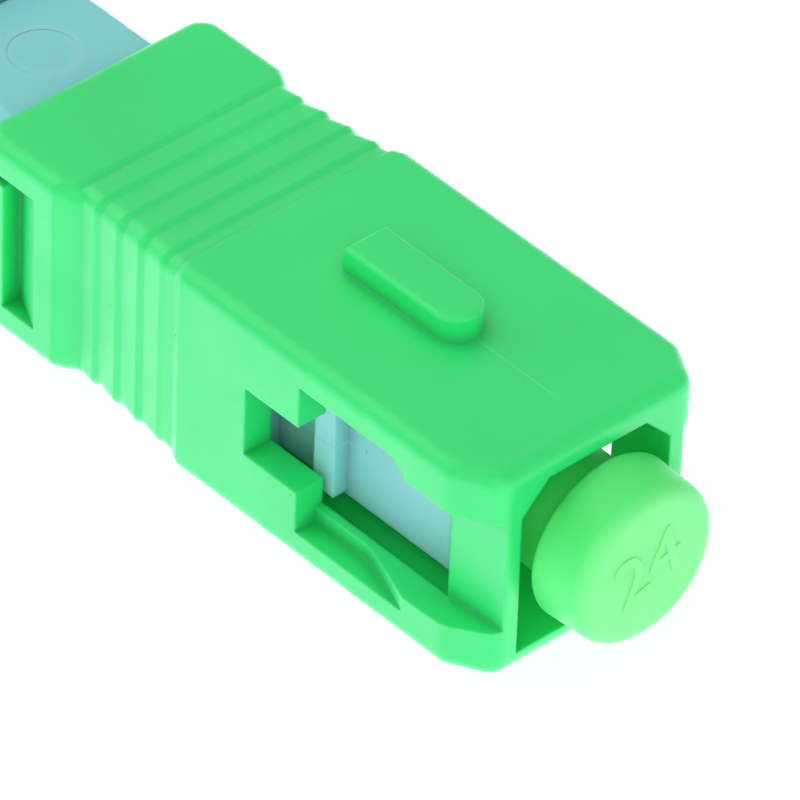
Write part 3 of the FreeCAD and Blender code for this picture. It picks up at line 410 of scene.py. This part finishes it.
def paint_nodes(nodes):
    green = moulded("satin_green", GREEN, roughness=0.40, mark=weld_line).material
    blue = moulded("satin_blue", BLUE, roughness=0.42, mark=ejector_ring).material
    # painted light: the plug frame is finished in a lighter copy of the body's blue
    lit_copy_of_blue = moulded("satin_lit_copy_of_blue", LIT_COPY_OF_BLUE, roughness=0.42, mark=parting_line).material
    white = moulded("natural_white", (0.78, 0.78, 0.74), roughness=0.4, specks=False).material
    aluminium = metal("soft_aluminium", (0.80, 0.81, 0.82), roughness=0.36, stretch=(0.1, 1, 1))
    turned = metal("turned_steel", (0.70, 0.69, 0.66), roughness=0.28, stretch=(1, 0.1, 0.1))
    steel = metal("spring_steel", (0.58, 0.59, 0.60), roughness=0.3, stretch=(0.15, 1, 1))
    finishes = {
        "outer_housing": green,
        "plug_frame": lit_copy_of_blue, "main_body": blue, "bottom_cover": blue,
        "lock_slider": blue, "cable_cover": blue,
        "dust_cap": cap_plastic("soft_polyethylene", edge=0.1, let_in=0.35),
        "ferrule": ceramic(),
        "ferrule_flange": turned,
        "fibre_stub": glass_fibre(),
        "ferrule_spring": steel,
        "splice_base": white,
        "front_press_plate": aluminium, "rear_press_plate": aluminium,
        "front_splice_clip": steel, "rear_splice_clip": steel,
    }
    for name, material in finishes.items():
        mesh = nodes[name].data
        mesh.materials.clear()
        mesh.materials.append(material)
    return finishes


# ---- dust cap ---------------------------------------------------------------------------------

def set_back_cap_face(node, material):
    """A copy of the dust cap, its face set back by the height of the number that stands on it."""
    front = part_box("dust_cap")[1].x
    shell = bmesh.new()
    shell.from_mesh(node.data)
    bmesh.ops.remove_doubles(shell, verts=shell.verts, dist=WELD_DISTANCE)
    for vertex in shell.verts:
        beyond = vertex.co.x - (front - CAP_ROUND)
        if beyond > 0:
            vertex.co.x -= NUMBER_HEIGHT * beyond / CAP_ROUND
    place_piece(shell, "dust_cap_with_plain_face", material, "cap", "cap_plastic", "dust_cap")


def raise_cap_number(material):
    """Two digits that stand on the cap's face, a little askew."""
    curve = bpy.data.curves.new("digits", "FONT")
    curve.body = NUMBER
    curve.size = NUMBER_SIZE_MM
    curve.align_x = curve.align_y = "CENTER"
    curve.extrude = curve.bevel_depth = NUMBER_HEIGHT / MM / 2
    curve.bevel_resolution = 2
    curve.resolution_u = 6
    text = add_object("digits", curve)
    bpy.context.view_layer.update()
    evaluated = text.evaluated_get(bpy.context.evaluated_depsgraph_get())
    flat = bpy.data.meshes.new_from_object(evaluated)
    bpy.data.objects.remove(text)
    digits = bmesh.new()
    digits.from_mesh(flat)
    bmesh.ops.remove_doubles(digits, verts=digits.verts, dist=NUMBER_WELD_MM)
    facing_forward = Matrix(((0, 0, 1, 0), (1, 0, 0, 0), (0, 1, 0, 0), (0, 0, 0, 1)))
    face = Matrix.Translation((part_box("dust_cap")[1].x - NUMBER_HEIGHT, 0, 0))
    place = face @ Matrix.Rotation(NUMBER_TILT, 4, "X") @ Matrix.Scale(MM, 4) @ facing_forward
    bmesh.ops.transform(digits, matrix=place, verts=digits.verts)
    place_piece(digits, "cap_number", material, "cap", "cap_plastic")


def place_piece(shape, name, material, body, slot, *replaced):
    """Make a piece of a finished shape, smooth but for its sharp edges, that rides on the body."""
    bmesh.ops.recalc_face_normals(shape, faces=shape.faces)
    for edge in shape.edges:
        edge.smooth = edge.calc_face_angle(0) < SMOOTH_BELOW
    for face in shape.faces:
        face.smooth = True
    mesh = bpy.data.meshes.new(name)
    shape.to_mesh(mesh)
    shape.free()
    mesh.materials.append(material)
    piece = add_object(name, mesh)
    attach(piece, body)
    if replaced:
        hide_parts(*replaced)
    return piece


# ---- ferrule spring ---------------------------------------------------------------------------

def let_spring_close(node, material):
    """A copy of the ferrule's spring, with a mesh of its own, that rides on the plug in its place.
    """
    coil = bmesh.new()
    coil.from_mesh(node.data)
    bmesh.ops.remove_doubles(coil, verts=coil.verts, dist=WELD_DISTANCE)
    spring = place_piece(coil, "closing_ferrule_spring", material, "plug", "spring_wire",
                         "ferrule_spring")
    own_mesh(spring)


# ---- build ------------------------------------------------------------------------------------

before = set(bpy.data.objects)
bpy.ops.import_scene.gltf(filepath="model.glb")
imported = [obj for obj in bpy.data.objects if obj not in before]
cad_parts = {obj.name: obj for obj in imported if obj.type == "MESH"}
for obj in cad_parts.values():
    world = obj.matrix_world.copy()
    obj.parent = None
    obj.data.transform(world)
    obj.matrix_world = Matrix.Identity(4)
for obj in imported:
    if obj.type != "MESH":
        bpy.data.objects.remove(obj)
cad_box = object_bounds()
bpy.context.scene.view_settings.view_transform = "Standard"
place_camera()
light_world()
place_lamp("back_box", direction=(-0.80, -0.20, 0.70), distance=0.5, size=0.5, power=0.95)
place_lamp("front_box", direction=(0.60, -0.60, 0.53), distance=0.45, size=0.3, power=0.42)
place_lamp("nose_box", direction=(1.00, -0.15, 0.12), distance=0.45, size=0.3, power=0.36)
lay_floor(cad_box[0][2] - FLOOR_GAP)
finishes = paint_nodes(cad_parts)
set_back_cap_face(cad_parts["dust_cap"], finishes["dust_cap"])
raise_cap_number(cap_plastic("soft_polyethylene_digits", edge=0.01, let_in=0))
let_spring_close(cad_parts["ferrule_spring"], finishes["ferrule_spring"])
